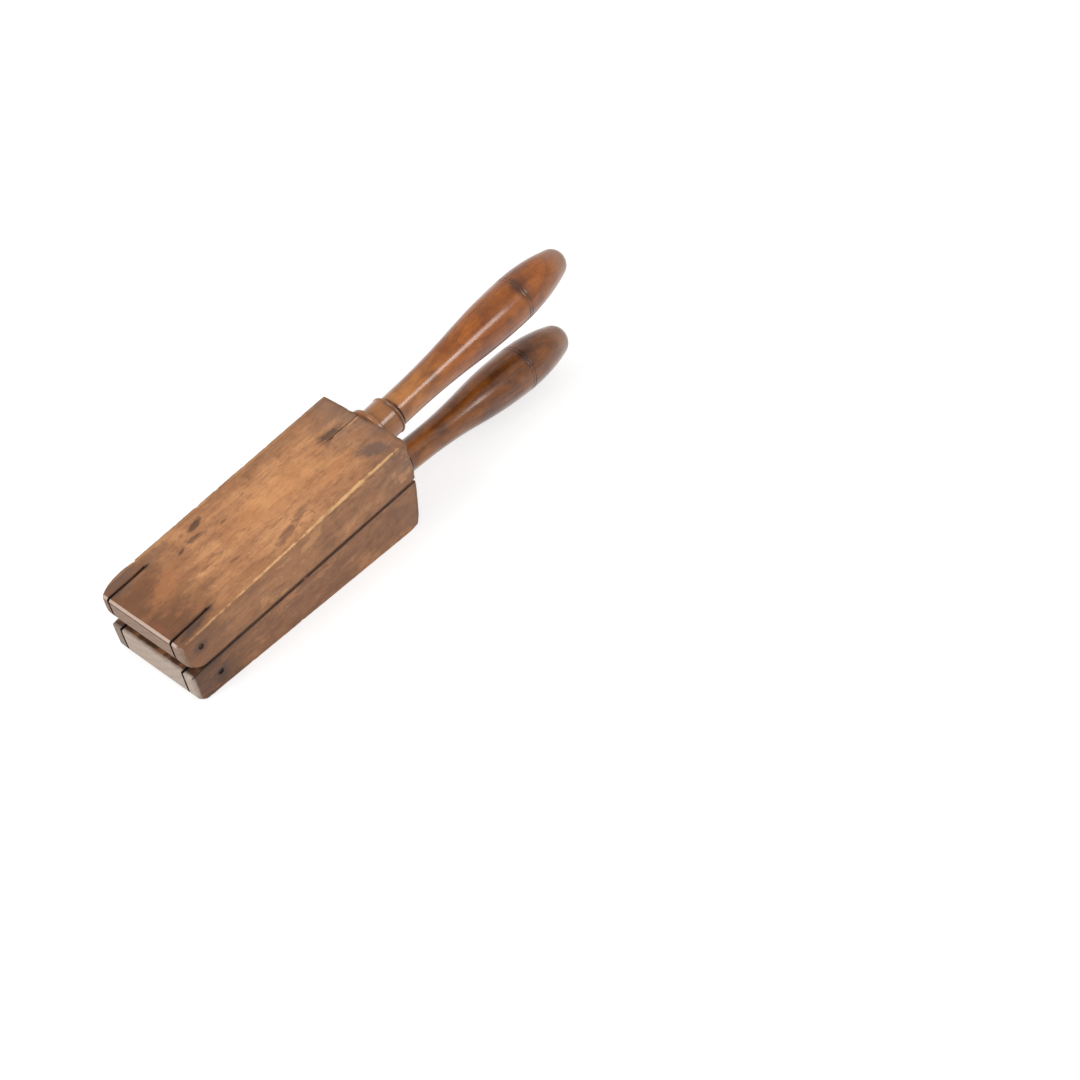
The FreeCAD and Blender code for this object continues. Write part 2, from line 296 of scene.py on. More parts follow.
def cut_jaw(piece, board, drifts):
    """Cuts the kerfs, cross hole, nut cups and tenon bore into a jaw."""
    side, inner, seat_height = board["side"], seam_gap / 2, board["seat_height"]
    pin_along, pin_height = board["pin_along"], side * board["pin_height"]
    for hand in (-1, 1):
        cut(piece, saw_kerf(side, hand, board["thick"], drifts[hand]))
    start, end = laid(pin_along, -40, pin_height), laid(pin_along, 40, pin_height)
    cut(piece, bar("cross_hole", start, end, (pin_diameter / 2 + hole_slack) * 0.001))
    for from_hinge, diameter, depth in cups:
        radius = (diameter ** 2 / 4 + depth ** 2) / (2 * depth)
        centre = laid(from_hinge, 0, side * (inner + depth - radius))
        cut(piece, ball("nut_cup", centre, (radius * 0.001,) * 3))
    seat = board["length"] + (inner + board["thick"] / 2 - seat_height) * math.tan(handle_splay)
    bore_end, mouth = [
        laid(seat + out * math.cos(handle_splay), 0, side * (seat_height + out * math.sin(handle_splay)))
        for out in (-tenon_length - 1, 3)]
    cut(piece, bar("bore", bore_end, mouth, (tenon_diameter / 2 + hole_slack) * 0.001))


chance = random.Random(11)
rim_dents = []
for from_hinge, diameter, depth in cups:
    for i in range(14):
        turn = chance.uniform(0, 2 * math.pi)
        out = diameter / 2 + chance.uniform(-0.5, 2.5)
        across = out * math.sin(turn)
        rim_dents.append((from_hinge + out * math.cos(turn), across, 0,
                          chance.uniform(1.2, 2.4), chance.uniform(0.1, 0.35)))
scattered = [(chance.uniform(8, 132), chance.uniform(-23, 23), 1,
              chance.uniform(1.2, 2.6), chance.uniform(0.04, 0.16)) for i in range(26)]
# Each dent is x, y, share of the thickness from the seam, reach and depth
upper_dents = rim_dents + scattered + [
    (74.0, -25.2, 1, 1.5, 0.5), (68.1, -25.2, 1, 1.7, 0.6), (71.0, -24.6, 1, 1.4, 0.3),
    (57.3, 25.2, 1, 1.5, 0.35), (69.1, 25.2, 1, 1.4, 0.3), (45.0, 25.2, 1, 1.4, 0.2),
    (100.0, 25.2, 1, 1.2, 0.2), (86.0, 25.2, 1, 1.6, 0.2), (119.5, 4.6, 1, 4.2, 0.35),
    (135.5, -23.5, 1, 3.4, 1.0), (138.2, -19.5, 1, 2.4, 0.7), (131.0, -24.8, 1, 2.2, 0.5),
    (139.0, -24.0, 0.7, 3.0, 0.6), (47.0, 16.0, 1, 3.2, 0.25), (35.5, 12.4, 1, 2.0, 0.3),
    (26.0, -25.2, 1, 1.8, 0.4), (112.0, -25.2, 1, 2.0, 0.35), (139.0, 10.0, 1, 2.0, 0.4)]
lower_dents = rim_dents + [
    (67.0, -25.2, 0, 1.8, 0.6), (60.0, -25.2, 1, 1.4, 0.25), (126.0, -25.2, 0, 1.6, 0.3),
    (30.0, -25.2, 1, 1.2, 0.2), (139.6, -22.0, 0, 3.0, 0.7), (139.6, 14.0, 0, 2.4, 0.5),
    (0.0, -10.0, 0, 2.2, 0.5), (0.0, 6.0, 0, 1.8, 0.4),
    (104.0, -25.2, 0.5, 3.0, 0.25), (48.0, -25.2, 0.4, 3.4, 0.25)]

upper_jaw = worn_jaw("upper_jaw_board", upper_board, upper_wear, upper_dents, 4.0)
cut_jaw(upper_jaw, upper_board, {-1: 0.5, 1: 0.6})
top = seam_gap / 2 + upper_board["thin"]
rise = (upper_board["thick"] - upper_board["thin"]) / upper_board["length"]
knot_split = [(x, y, top + rise * x) for x, y in ((112.5, 5.6), (121, 4.9), (130, 4.4), (141, 4.3))]
cut(upper_jaw, split(1, knot_split, 0.5, 1.4))
end_split = [(0, y, top - down) for y, down in ((-18.6, 1.5), (-6, 1.4), (8, 1.6), (18.6, 1.4))]
cut(upper_jaw, split(1, end_split, 0.45, 0.8, across_grain=True))
knot_from_hinge = 120.3
knot = laid(knot_from_hinge, 4.7, top + rise * knot_from_hinge)
cut(upper_jaw, ball("knot_hole", knot, (0.0032, 0.0006, 0.0005)))

lower_jaw = worn_jaw("lower_jaw_board", lower_board, lower_wear, lower_dents, 9.0)
cut_jaw(lower_jaw, lower_board, {-1: 0.3, 1: 0.3})
for piece, body, node in ((upper_jaw, "upper_half", "upper_jaw"), (lower_jaw, "lower_half", "lower_jaw")):
    weld(piece)
    finish_faces(piece, 38)
    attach(piece, body)
    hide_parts(node)


def feed(tree, socket, value):
    """Links another node's output into a socket, or gives it a fixed value."""
    if isinstance(value, bpy.types.NodeSocket):
        tree.links.new(value, socket)
    else:
        socket.default_value = value


def add(tree, kind, settings=None, **feeds):
    """Adds a shader node: settings are its own properties, feeds go into its inputs by name or number."""
    made = tree.nodes.new(kind)
    for key, value in (settings or {}).items():
        setattr(made, key, value)
    for key, value in feeds.items():
        name = int(key[1:]) if key[1:].isdigit() else key.replace("_", " ")
        feed(tree, made.inputs[name], value)
    return made


def maths(tree, operation, a, b=0.0, c=0.0, clamp=False):
    """Result of one Math node."""
    made = add(tree, "ShaderNodeMath", {"operation": operation, "use_clamp": clamp}, i0=a, i1=b, i2=c)
    return made.outputs[0]


def blend(tree, how, amount, a, b):
    """Colour made from two by a Mix node."""
    made = tree.nodes.new("ShaderNodeMix")
    made.data_type = "RGBA"
    made.blend_type = how
    for number, value in ((0, amount), (6, a), (7, b)):
        feed(tree, made.inputs[number], value)
    return made.outputs[2]


def ramp(tree, value, low, high, from_value=0.0, to_value=1.0):
    """Smooth step of a value between two levels."""
    made = add(tree, "ShaderNodeMapRange", {"interpolation_type": "SMOOTHSTEP"},
               i0=value, i1=low, i2=high, i3=from_value, i4=to_value)
    return made.outputs[0]


def product(tree, *values):
    """All the values multiplied together."""
    result = values[0]
    for value in values[1:]:
        result = maths(tree, "MULTIPLY", result, value)
    return result


def most(tree, *values):
    """The largest of the values."""
    result = values[0]
    for value in values[1:]:
        result = maths(tree, "MAXIMUM", result, value)
    return result


def distance(tree, a, b):
    """Length of the hypotenuse over two values."""
    return maths(tree, "SQRT", maths(tree, "ADD", product(tree, a, a), product(tree, b, b)))


def stretched(tree, vector, x, y, z):
    """Coordinates scaled differently along each axis, in repeats per metre."""
    return add(tree, "ShaderNodeVectorMath", {"operation": "MULTIPLY"}, i0=vector, i1=(x, y, z)).outputs[0]


def noise(tree, vector, detail=2.0, roughness=0.5, distortion=0.0):
    """Noise at unit scale in the coordinates given."""
    made = add(tree, "ShaderNodeTexNoise", None, Vector=vector, Scale=1.0, Detail=detail,
               Roughness=roughness, Distortion=distortion)
    return made.outputs[0]


def new_group(name, takes, gives):
    """Empty shader node group with named inputs and outputs; returns it with its two end nodes."""
    kinds = {"vector": "NodeSocketVector", "value": "NodeSocketFloat", "colour": "NodeSocketColor"}
    group = bpy.data.node_groups.new(name, "ShaderNodeTree")
    for label, kind in takes:
        group.interface.new_socket(name=label, in_out="INPUT", socket_type=kinds[kind])
    for label, kind in gives:
        group.interface.new_socket(name=label, in_out="OUTPUT", socket_type=kinds[kind])
    return group, group.nodes.new("NodeGroupInput"), group.nodes.new("NodeGroupOutput")


def place_group(tree, group, **feeds):
    """One use of a node group in a material, with its own values."""
    made = tree.nodes.new("ShaderNodeGroup")
    made.node_tree = group
    for key, value in feeds.items():
        feed(tree, made.inputs[key.replace("_", " ")], value)
    return made


def srgb(red, green, blue):
    """Linear colour for a display colour of 0 to 255."""
    def linear(value):
        value = value / 255
        return value / 12.92 if value <= 0.04045 else ((value + 0.055) / 1.055) ** 2.4
    return (linear(red), linear(green), linear(blue), 1.0)


def new_material(name):
    """Material with a Principled shader; returns it with its tree and that shader."""
    material = bpy.data.materials.new(name)
    material.use_nodes = True
    return material, material.node_tree, material.node_tree.nodes["Principled BSDF"]


def local_place(tree, origin, slope):
    """Coordinates measured from a piece's own origin and along its own slope."""
    place = add(tree, "ShaderNodeTexCoord").outputs["Object"]
    made = add(tree, "ShaderNodeMapping", {"vector_type": "TEXTURE"},
               Vector=place, Location=origin, Rotation=(0, -slope, 0))
    return made.outputs[0]


# Solid wood at any cut: year rings round a pith line along X, fibre, mottling, cross figure and open pores
wood, wood_in, wood_out = new_group(
    "solid_wood",
    [("Vector", "vector"), ("Pith Y", "value"), ("Pith Z", "value"), ("Ring Spacing", "value"),
     ("Light", "colour"), ("Middle", "colour"), ("Dark", "colour"), ("Rings", "value"),
     ("Mottling", "value"), ("Figure", "value"), ("Pores", "value")],
    [("Color", "colour"), ("Relief", "value"), ("Ring", "value")])
place = wood_in.outputs["Vector"]
wander = add(wood, "ShaderNodeTexNoise", None,
             Vector=stretched(wood, place, 9, 30, 30), Scale=1.0, Detail=2.0)
shift = add(wood, "ShaderNodeVectorMath", {"operation": "SUBTRACT"},
            i0=wander.outputs["Color"], i1=(0.5, 0.5, 0.5))
bent = add(wood, "ShaderNodeVectorMath", {"operation": "MULTIPLY_ADD"},
           i0=shift.outputs[0], i1=(0, 0.007, 0.007), i2=place)
parts = add(wood, "ShaderNodeSeparateXYZ", None, Vector=bent.outputs[0])
from_y = maths(wood, "SUBTRACT", parts.outputs[1], wood_in.outputs["Pith Y"])
from_z = maths(wood, "SUBTRACT", parts.outputs[2], wood_in.outputs["Pith Z"])
seasons = maths(wood, "DIVIDE", distance(wood, from_y, from_z), wood_in.outputs["Ring Spacing"])
season = maths(wood, "FRACT", seasons)
late = maths(wood, "POWER", season, 2.5)
fibre = noise(wood, stretched(wood, place, 60, 1400, 1400), 4, 0.65)
streak = noise(wood, stretched(wood, bent.outputs[0], 14, 230, 230), 3, 0.6)
mottle = noise(wood, stretched(wood, place, 24, 55, 55), 4, 0.62)
figure = noise(wood, stretched(wood, bent.outputs[0], 260, 90, 90), 2, 0.5, 0.6)
pore = ramp(wood, noise(wood, stretched(wood, place, 300, 2200, 2200), 1, 0.4), 0.63, 0.70)
tone = maths(wood, "MULTIPLY_ADD", ramp(wood, mottle, 0.34, 0.66), wood_in.outputs["Mottling"],
             maths(wood, "MULTIPLY", maths(wood, "SUBTRACT", streak, 0.5), 1.0))
tone = maths(wood, "MULTIPLY_ADD", maths(wood, "SUBTRACT", figure, 0.5), wood_in.outputs["Figure"], tone)
lightness = maths(wood, "ADD", tone, 0.0, clamp=True)
warm = blend(wood, "MIX", lightness, wood_in.outputs["Middle"], wood_in.outputs["Light"])
ring_shade = maths(wood, "MULTIPLY", late, wood_in.outputs["Rings"], clamp=True)
ringed = blend(wood, "MIX", ring_shade, warm, wood_in.outputs["Dark"])
fibres = blend(wood, "MIX", ramp(wood, fibre, 0.3, 0.7), (0.88, 0.86, 0.84, 1), (1.08, 1.08, 1.08, 1))
fine = blend(wood, "MULTIPLY", 1.0, ringed, fibres)
pore_shade = maths(wood, "MULTIPLY", pore, wood_in.outputs["Pores"], clamp=True)
pored = blend(wood, "MIX", pore_shade, fine, wood_in.outputs["Dark"])
relief = maths(wood, "SUBTRACT", product(wood, fibre, 0.5), product(wood, pore, 0.7))
for label, result in (("Color", pored), ("Relief", relief), ("Ring", late)):
    wood.links.new(result, wood_out.inputs[label])

# One soft-edged oval mark on a face seen from above, turned by an angle, ragged at its rim
mark, mark_in, mark_out = new_group(
    "oval_mark",
    [("Vector", "vector"), ("X", "value"), ("Y", "value"), ("Half Length", "value"),
     ("Half Width", "value"), ("Turn", "value"), ("Ragged", "value")],
    [("Mask", "value")])
parts = add(mark, "ShaderNodeSeparateXYZ", None, Vector=mark_in.outputs["Vector"])
from_x = maths(mark, "SUBTRACT", parts.outputs[0], mark_in.outputs["X"])
from_y = maths(mark, "SUBTRACT", parts.outputs[1], mark_in.outputs["Y"])
lean = maths(mark, "COSINE", mark_in.outputs["Turn"])
tilt = maths(mark, "SINE", mark_in.outputs["Turn"])
long_way = maths(mark, "ADD", product(mark, from_x, lean), product(mark, from_y, tilt))
short_way = maths(mark, "SUBTRACT", product(mark, from_y, lean), product(mark, from_x, tilt))
far = distance(mark, maths(mark, "DIVIDE", long_way, mark_in.outputs["Half Length"]),
               maths(mark, "DIVIDE", short_way, mark_in.outputs["Half Width"]))
rim_noise = noise(mark, stretched(mark, mark_in.outputs["Vector"], 330, 900, 900), 3, 0.6)
far = maths(mark, "MULTIPLY_ADD", maths(mark, "SUBTRACT", rim_noise, 0.5), mark_in.outputs["Ragged"], far)
mark.links.new(ramp(mark, far, 0.35, 1.0, 1.0, 0.0), mark_out.inputs["Mask"])


def jaw_finish(name, board, pith, colours, marks):
    """Wood of one jaw: its grain, pale end grain, worn edges, iron stains, painted shade on its sides, at the
    lower jaw's hinge end and in its seam, kerfs and holes, and marks on its outer face.
    """
    material, tree, shader = new_material(name)
    side = board["side"]
    seam = local_place(tree, laid(0, 0, 0), lower_slope)
    grain = place_group(
        tree, wood, Vector=seam, Pith_Y=pith[0], Pith_Z=pith[1], Ring_Spacing=0.0042,
        Light=colours["light"], Middle=colours["middle"], Dark=colours["dark"],
        Rings=0.2, Mottling=0.95, Figure=0.9, Pores=0.35)
    colour = grain.outputs["Color"]
    parts = add(tree, "ShaderNodeSeparateXYZ", None, Vector=seam)
    along, across = parts.outputs[0], parts.outputs[1]
    height = maths(tree, "MULTIPLY", parts.outputs[2], side)
    half, inner = half_width * 0.001, seam_gap / 2 * 0.001
    taper = (board["thick"] - board["thin"]) / board["length"]
    outer = maths(tree, "MULTIPLY_ADD", along, taper, inner + board["thin"] * 0.001)
    below = maths(tree, "SUBTRACT", outer, height)
    off_centre = maths(tree, "ABSOLUTE", across)
    cloud = noise(tree, stretched(tree, seam, 120, 160, 160), 4, 0.65)
    grit = noise(tree, stretched(tree, seam, 900, 1500, 1500), 3, 0.7)
    uneven = maths(tree, "SUBTRACT", cloud, 0.5)

    # Darker at the hinge end and towards the long sides: dirt and iron stain, and on the lower jaw painted
    # shade as well. Grey stain at the handle end, and painted shade low on the sides
    on_side = ramp(tree, off_centre, half - 0.0009, half - 0.0003)
    hinge_end = ramp(tree, maths(tree, "MULTIPLY_ADD", uneven, 0.030, along), 0.010, 0.046, 1.0, 0.0)
    handle_end = ramp(tree, maths(tree, "MULTIPLY_ADD", uneven, 0.030, along), 0.108, 0.142)
    rim = ramp(tree, maths(tree, "MULTIPLY_ADD", uneven, 0.012, off_centre), 0.016, 0.026)
    # Dirt, and on the lower jaw painted shade too: the hinge end and the long sides darker
    dirt_and_shade = most(tree, product(tree, hinge_end, 0.9), product(tree, rim, 0.4))
    colour = blend(tree, "MIX", product(tree, dirt_and_shade, colours["dirt_and_shade_amount"]), colour, colours["dirt_and_shade"])
    colour = blend(tree, "MIX", product(tree, handle_end, 0.75), colour, colours["grey"])
    # Painted shade: the sides get darker further down from the outer face
    side_depth = maths(tree, "MULTIPLY_ADD", uneven, 0.02, below)
    side_shade = product(tree, on_side, ramp(tree, side_depth, 0.0, 0.026, 0.15, colours["side_depth"]))
    colour = blend(tree, "MIX", side_shade, colour, colours["side"])
    patches = noise(tree, stretched(tree, seam, 70, 120, 120), 4, 0.6)
    colour = blend(tree, "MIX", ramp(tree, patches, 0.48, 0.64, 0.0, 0.6), colour, colours["patch"])
    smudges = noise(tree, stretched(tree, seam, 130, 260, 260), 4, 0.6, 0.2)
    colour = blend(tree, "MIX", ramp(tree, smudges, 0.52, 0.68, 0.0, 0.5), colour, colours["smudge"])
    weathered = noise(tree, stretched(tree, seam, 75, 90, 150), 4, 0.65)
    dirty = product(tree, on_side, ramp(tree, weathered, 0.50, 0.66, 0.0, 0.55))
    colour = blend(tree, "MIX", dirty, colour, colours["smudge"])
    bare = product(tree, on_side, ramp(tree, weathered, 0.34, 0.46, 0.5, 0.0),
                   ramp(tree, along, 0.015, 0.045))
    colour = blend(tree, "MIX", bare, colour, colours["light"])
    scratches = ramp(tree, noise(tree, stretched(tree, seam, 40, 800, 800), 2, 0.5), 0.68, 0.75, 0.0, 0.35)
    colour = blend(tree, "MIX", scratches, colour, colours["dark"])

    # Stain round the cross pin and along the kerfs
    pin_far = distance(tree, maths(tree, "SUBTRACT", along, board["pin_along"] * 0.001),
                       maths(tree, "SUBTRACT", height, board["pin_height"] * 0.001))
    pin_far = maths(tree, "MULTIPLY_ADD", uneven, 0.005, pin_far)
    pin_stain = product(tree, on_side, ramp(tree, pin_far, 0.0012, 0.0055, 0.6, 0.0))
    kerf_far = maths(tree, "ABSOLUTE", maths(tree, "SUBTRACT", off_centre, kerf_spacing / 2 * 0.001))
    beside_kerf = maths(tree, "MULTIPLY_ADD", uneven, 0.003, kerf_far)
    beside_kerf = ramp(tree, beside_kerf, 0.0007, 0.0024, 0.45, 0.0)
    kerf_run = ramp(tree, along, kerf_depth * 0.001, kerf_depth * 0.001 + 0.003, 1.0, 0.0)
    stain = most(tree, pin_stain, product(tree, beside_kerf, kerf_run))
    colour = blend(tree, "MIX", stain, colour, srgb(72, 58, 52))
    for x, y, long, wide, turn, amount, tint in marks:
        spot = place_group(tree, mark, Vector=seam, X=x * 0.001, Y=y * 0.001, Half_Length=long * 0.001,
                           Half_Width=wide * 0.001, Turn=math.radians(turn), Ragged=1.4)
        on_outer = ramp(tree, below, 0.001, 0.003, 1.0, 0.0)
        colour = blend(tree, "MIX", product(tree, spot.outputs[0], on_outer, amount), colour, tint)

    # End grain: pale where the hinge end has dried out, palest on the chamfer
    low_cut = ramp(tree, maths(tree, "MULTIPLY_ADD", uneven, 0.0012, along), 0.0007, 0.0022, 1.0, 0.0)
    low_cut = product(tree, low_cut, ramp(tree, below, 0.0003, 0.0009),
                      ramp(tree, across, 0.0188, 0.0196, 1.0, 0.5))
    dusty = blend(tree, "MIX", ramp(tree, grit, 0.3, 0.7), colours["end_low"], colours["end_high"])
    dusty = blend(tree, "MULTIPLY", product(tree, grain.outputs["Ring"], 0.25), dusty, srgb(196, 176, 160))
    colour = blend(tree, "MIX", product(tree, low_cut, 0.92), colour, dusty)
    if side > 0:
        strip = ramp(tree, maths(tree, "ADD", along, below), 0.00105, 0.00135, 1.0, 0.0)
        strip = product(tree, strip, ramp(tree, cloud, 0.2, 0.45, 0.5, 0.95))
        colour = blend(tree, "MIX", strip, colour, colours["strip"])
        # Painted shade: a dark line along the split in the end face, below the chamfer strip
        groove = maths(tree, "ABSOLUTE", maths(tree, "SUBTRACT", below, 0.00145))
        groove = product(tree, ramp(tree, groove, 0.0002, 0.0005, 0.9, 0.0),
                         ramp(tree, off_centre, 0.0180, 0.0187, 1.0, 0.0),
                         ramp(tree, along, 0.0005, 0.0012, 1.0, 0.0))
        colour = blend(tree, "MIX", groove, colour, srgb(48, 32, 24))
    end_face = maths(tree, "MULTIPLY_ADD", height, math.tan(handle_splay), along)
    end_shift = board["thick"] / 2 * 0.001 * math.tan(handle_splay)
    far_cut = ramp(tree, end_face, 0.1366 + end_shift, 0.1388 + end_shift)
    sawn = blend(tree, "MIX", product(tree, grain.outputs["Ring"], 0.6), srgb(124, 92, 70), srgb(74, 50, 36))
    colour = blend(tree, "MIX", product(tree, far_cut, 0.65), colour, sawn)

    # Handled edges are rubbed back to pale wood, most of all on the right
    right_far = distance(tree, maths(tree, "ADD", across, half), below)
    left_far = distance(tree, maths(tree, "SUBTRACT", half, across), below)
    from_widest = maths(tree, "ABSOLUTE", maths(tree, "SUBTRACT", along, 0.098))
    widest = ramp(tree, from_widest, 0.006, 0.034, -0.0002, -0.0006)
    ragged = noise(tree, stretched(tree, seam, 220, 400, 400), 3, 0.7)
    reach = maths(tree, "MULTIPLY_ADD", ragged, 0.0018, widest)
    rubbed_right = ramp(tree, maths(tree, "SUBTRACT", right_far, reach), 0.0, 0.0007, 1.0, 0.0)
    rubbed_left = maths(tree, "SUBTRACT", left_far, maths(tree, "MULTIPLY", reach, 0.5))
    rubbed_left = ramp(tree, rubbed_left, 0.0, 0.0006, 1.0, 0.0)
    kept_on = ramp(tree, along, 0.006, 0.030, 0.35, 1.0)
    rubbed = most(tree, product(tree, rubbed_right, kept_on, colours["rubbed"]),
                  product(tree, rubbed_left, 0.2))
    rubbed = product(tree, rubbed, ramp(tree, cloud, 0.36, 0.52, 0.45, 1.0))
    colour = blend(tree, "MIX", rubbed, colour, srgb(232, 182, 126))

    # Painted shade along the seam, on the kerf walls and in the bores, and oiled nut cups
    in_seam = maths(tree, "MULTIPLY_ADD", uneven, 0.0006, height)
    in_seam = product(tree, ramp(tree, in_seam, inner + 0.0003, inner + 0.0014, 1.0, 0.0), on_side)
    in_kerf = product(tree, ramp(tree, kerf_far, 0.00058, 0.00074, 1.0, 0.0), kerf_run)
    in_hole = product(tree, ramp(tree, pin_far, 0.0013, 0.0017, 1.0, 0.0), on_side)
    painted_recess_shade = product(tree, most(tree, in_seam, in_kerf, in_hole), 0.92)
    colour = blend(tree, "MIX", painted_recess_shade, colour, srgb(36, 24, 18))
    for from_hinge, diameter, depth in cups:
        cup_far = distance(tree, maths(tree, "SUBTRACT", along, from_hinge * 0.001), across)
        cup_far = maths(tree, "MULTIPLY_ADD", uneven, 0.004, cup_far)
        rim_far, floor_height = diameter / 2 * 0.001, inner + depth * 0.001
        oiled = ramp(tree, cup_far, rim_far - 0.003, rim_far + 0.002, 0.75, 0.0)
        low = ramp(tree, height, floor_height + 0.0002, floor_height + 0.0018, 1.0, 0.0)
        colour = blend(tree, "MIX", product(tree, oiled, low), colour, srgb(84, 54, 38))
    tree.links.new(colour, shader.inputs["Base Color"])
    shader.inputs["Specular IOR Level"].default_value = 0.3

    gloss = maths(tree, "MULTIPLY_ADD", cloud, 0.20, 0.40)
    gloss = maths(tree, "ADD", gloss, product(tree, most(tree, low_cut, in_kerf), 0.3), clamp=True)
    tree.links.new(gloss, shader.inputs["Roughness"])
    bumps = maths(tree, "MULTIPLY_ADD", grit, 0.35, grain.outputs["Relief"])
    bumps = maths(tree, "MULTIPLY_ADD", cloud, 1.2, bumps)
    bump = add(tree, "ShaderNodeBump", None, Strength=0.6, Distance=0.00022, Height=bumps)
    tree.links.new(bump.outputs[0], shader.inputs["Normal"])
    return material


# Each mark is x, y, half length, half width, turn in degrees, strength and colour
upper_marks = [
    (48.9, 18.8, 6.5, 2.4, 8, 0.75, srgb(66, 46, 38)), (43.8, 13.4, 5.5, 2.2, -6, 0.65, srgb(78, 54, 44)),
    (35.5, 12.4, 3.2, 0.9, 15, 0.7, srgb(70, 48, 40)), (57.4, 9.8, 3.0, 0.9, 0, 0.6, srgb(80, 52, 42)),
    (45.9, -9.8, 3.4, 1.0, -10, 0.5, srgb(86, 58, 46)), (121.0, 7.0, 9.5, 2.8, -8, 0.85, srgb(84, 64, 54)),
    (117.5, 3.6, 4.4, 1.8, 20, 0.5, srgb(108, 88, 78)), (134.0, 3.4, 8.0, 0.9, 0, 0.5, srgb(212, 160, 118)),
    (100.1, -13.7, 4.0, 1.2, 0, 0.4, srgb(110, 76, 56)), (80.0, -15.0, 8.0, 2.6, 14, 0.5, srgb(104, 72, 58)),
    (68.0, -18.5, 11.0, 3.2, 12, 0.6, srgb(104, 74, 62)),
    (125.5, -16.0, 11.0, 5.6, -35, 0.8, srgb(108, 84, 74)),
    (10.0, -21.6, 10.0, 2.4, 7, 0.75, srgb(74, 60, 56)), (9.0, 17.0, 8.0, 1.6, 10, 0.5, srgb(118, 96, 84)),
    (10.0, 23.2, 13.0, 3.6, 0, 0.7, srgb(112, 88, 74)), (2.7, -10.9, 6.0, 2.2, 90, 0.4, srgb(146, 84, 62)),
    (19.6, 4.6, 14.0, 6.5, 30, 0.35, srgb(204, 134, 84)), (82.0, 2.0, 38.0, 13.0, 3, 0.4, srgb(218, 152, 96)),
    (106.0, -10.0, 18.0, 6.0, 6, 0.3, srgb(216, 146, 92)),
    (134.0, 18.0, 9.0, 8.0, 0, 0.4, srgb(140, 112, 92)),
    (28.0, 21.0, 12.0, 4.0, 4, 0.5, srgb(122, 90, 72)), (96.0, 22.0, 22.0, 3.2, 1, 0.35, srgb(124, 90, 68))]
upper_colours = {
    "light": srgb(220, 160, 110), "middle": srgb(184, 130, 90), "dark": srgb(96, 64, 46),
    "dirt_and_shade": srgb(106, 68, 46), "dirt_and_shade_amount": 0.95, "grey": srgb(112, 90, 80),
    "patch": srgb(160, 108, 72), "smudge": srgb(128, 88, 62),
    # side and side_depth: painted shade on the sides
    "side": srgb(164, 118, 86), "side_depth": 0.35,
    "end_low": srgb(148, 122, 106), "end_high": srgb(170, 146, 130),
    "strip": srgb(196, 170, 154), "rubbed": 0.9}
lower_colours = {
    "light": srgb(206, 146, 102), "middle": srgb(184, 130, 92), "dark": srgb(88, 58, 42),
    # Near-black hinge-end colour: dirt and iron stain, and painted shade
    "dirt_and_shade": srgb(50, 30, 18), "dirt_and_shade_amount": 1.0, "grey": srgb(150, 110, 86),
    "patch": srgb(164, 114, 80), "smudge": srgb(122, 84, 62),
    # side and side_depth: painted shade on the sides
    "side": srgb(140, 96, 70), "side_depth": 0.3,
    "end_low": srgb(184, 166, 152), "end_high": srgb(204, 188, 174), "rubbed": 0.3}
for piece, name, board, pith, colours, marks in (
        (upper_jaw, "upper_jaw_wood", upper_board, (-0.065, -0.09), upper_colours, upper_marks),
        (lower_jaw, "lower_jaw_wood", lower_board, (0.05, 0.075), lower_colours, [])):
    piece.data.materials.clear()
    piece.data.materials.append(jaw_finish(name, board, pith, colours, marks))

# HINGE IRON
# Two flat links let into the kerfs at the thin end, and two cross pins through jaws and links.
# Cut from strip and rod, never painted, and browned all over by a thin even rust.
iron, tree, shader = new_material("old_iron")
iron_place = add(tree, "ShaderNodeTexCoord").outputs["Object"]
scale = noise(tree, stretched(tree, iron_place, 500, 500, 500), 5, 0.65)
pit = noise(tree, stretched(tree, iron_place, 1900, 1900, 1900), 3, 0.6)
rust = ramp(tree, scale, 0.46, 0.62)
metal = blend(tree, "MIX", ramp(tree, pit, 0.35, 0.65), srgb(42, 38, 36), srgb(74, 68, 64))
rusted = blend(tree, "MIX", product(tree, rust, 0.8), metal, srgb(86, 50, 30))
tree.links.new(rusted, shader.inputs["Base Color"])
tree.links.new(ramp(tree, scale, 0.4, 0.6, 0.42, 0.78), shader.inputs["Roughness"])
tree.links.new(ramp(tree, scale, 0.44, 0.6, 0.85, 0.15), shader.inputs["Metallic"])
bump = add(tree, "ShaderNodeBump", None,
           Strength=0.7, Distance=0.00012, Height=maths(tree, "ADD", pit, scale))
tree.links.new(bump.outputs[0], shader.inputs["Normal"])
for name in ("left_link_plate", "right_link_plate", "upper_hinge_pin", "lower_hinge_pin"):
    nodes[name].material_slots[0].material = iron

# HANDLES
# Two levers turned from a redder, denser wood, with a flange, drum, bead and groove next to the jaw.
# Each is driven by its round tenon into the jaw's end grain, and hands have polished its grip.
# Sizes are in millimetres, with the distance along the handle measured from its seat.
tenon_radius = tenon_diameter / 2
tenon_bevel = 0.8
flange_radius = 12.4
flange_end = 2.4
flange_round = 0.6
drum_radius = 9.65
drum_end = 13.0
bead_end = 14.6
groove_end = 16.1
grip_from_tip = 38.7
ring_from_tip = 40.0
half_ring_gap = 0.95
upper_lever = {"length": 147.5, "neck": 8.25, "straight": 7.7, "grip": 12.4, "tip": 8.2}
lower_lever = {"length": 145.4, "neck": 7.85, "straight": 12.5, "grip": 13.05, "tip": 9.2}


def along_arc(centre_x, centre_radius, arc_radius, first, last, steps):
    """Points of a turned outline on an arc between two angles in degrees."""
    turns = [math.radians(first + (last - first) * i / steps) for i in range(steps + 1)]
    return [(centre_x + arc_radius * math.cos(t), centre_radius + arc_radius * math.sin(t)) for t in turns]


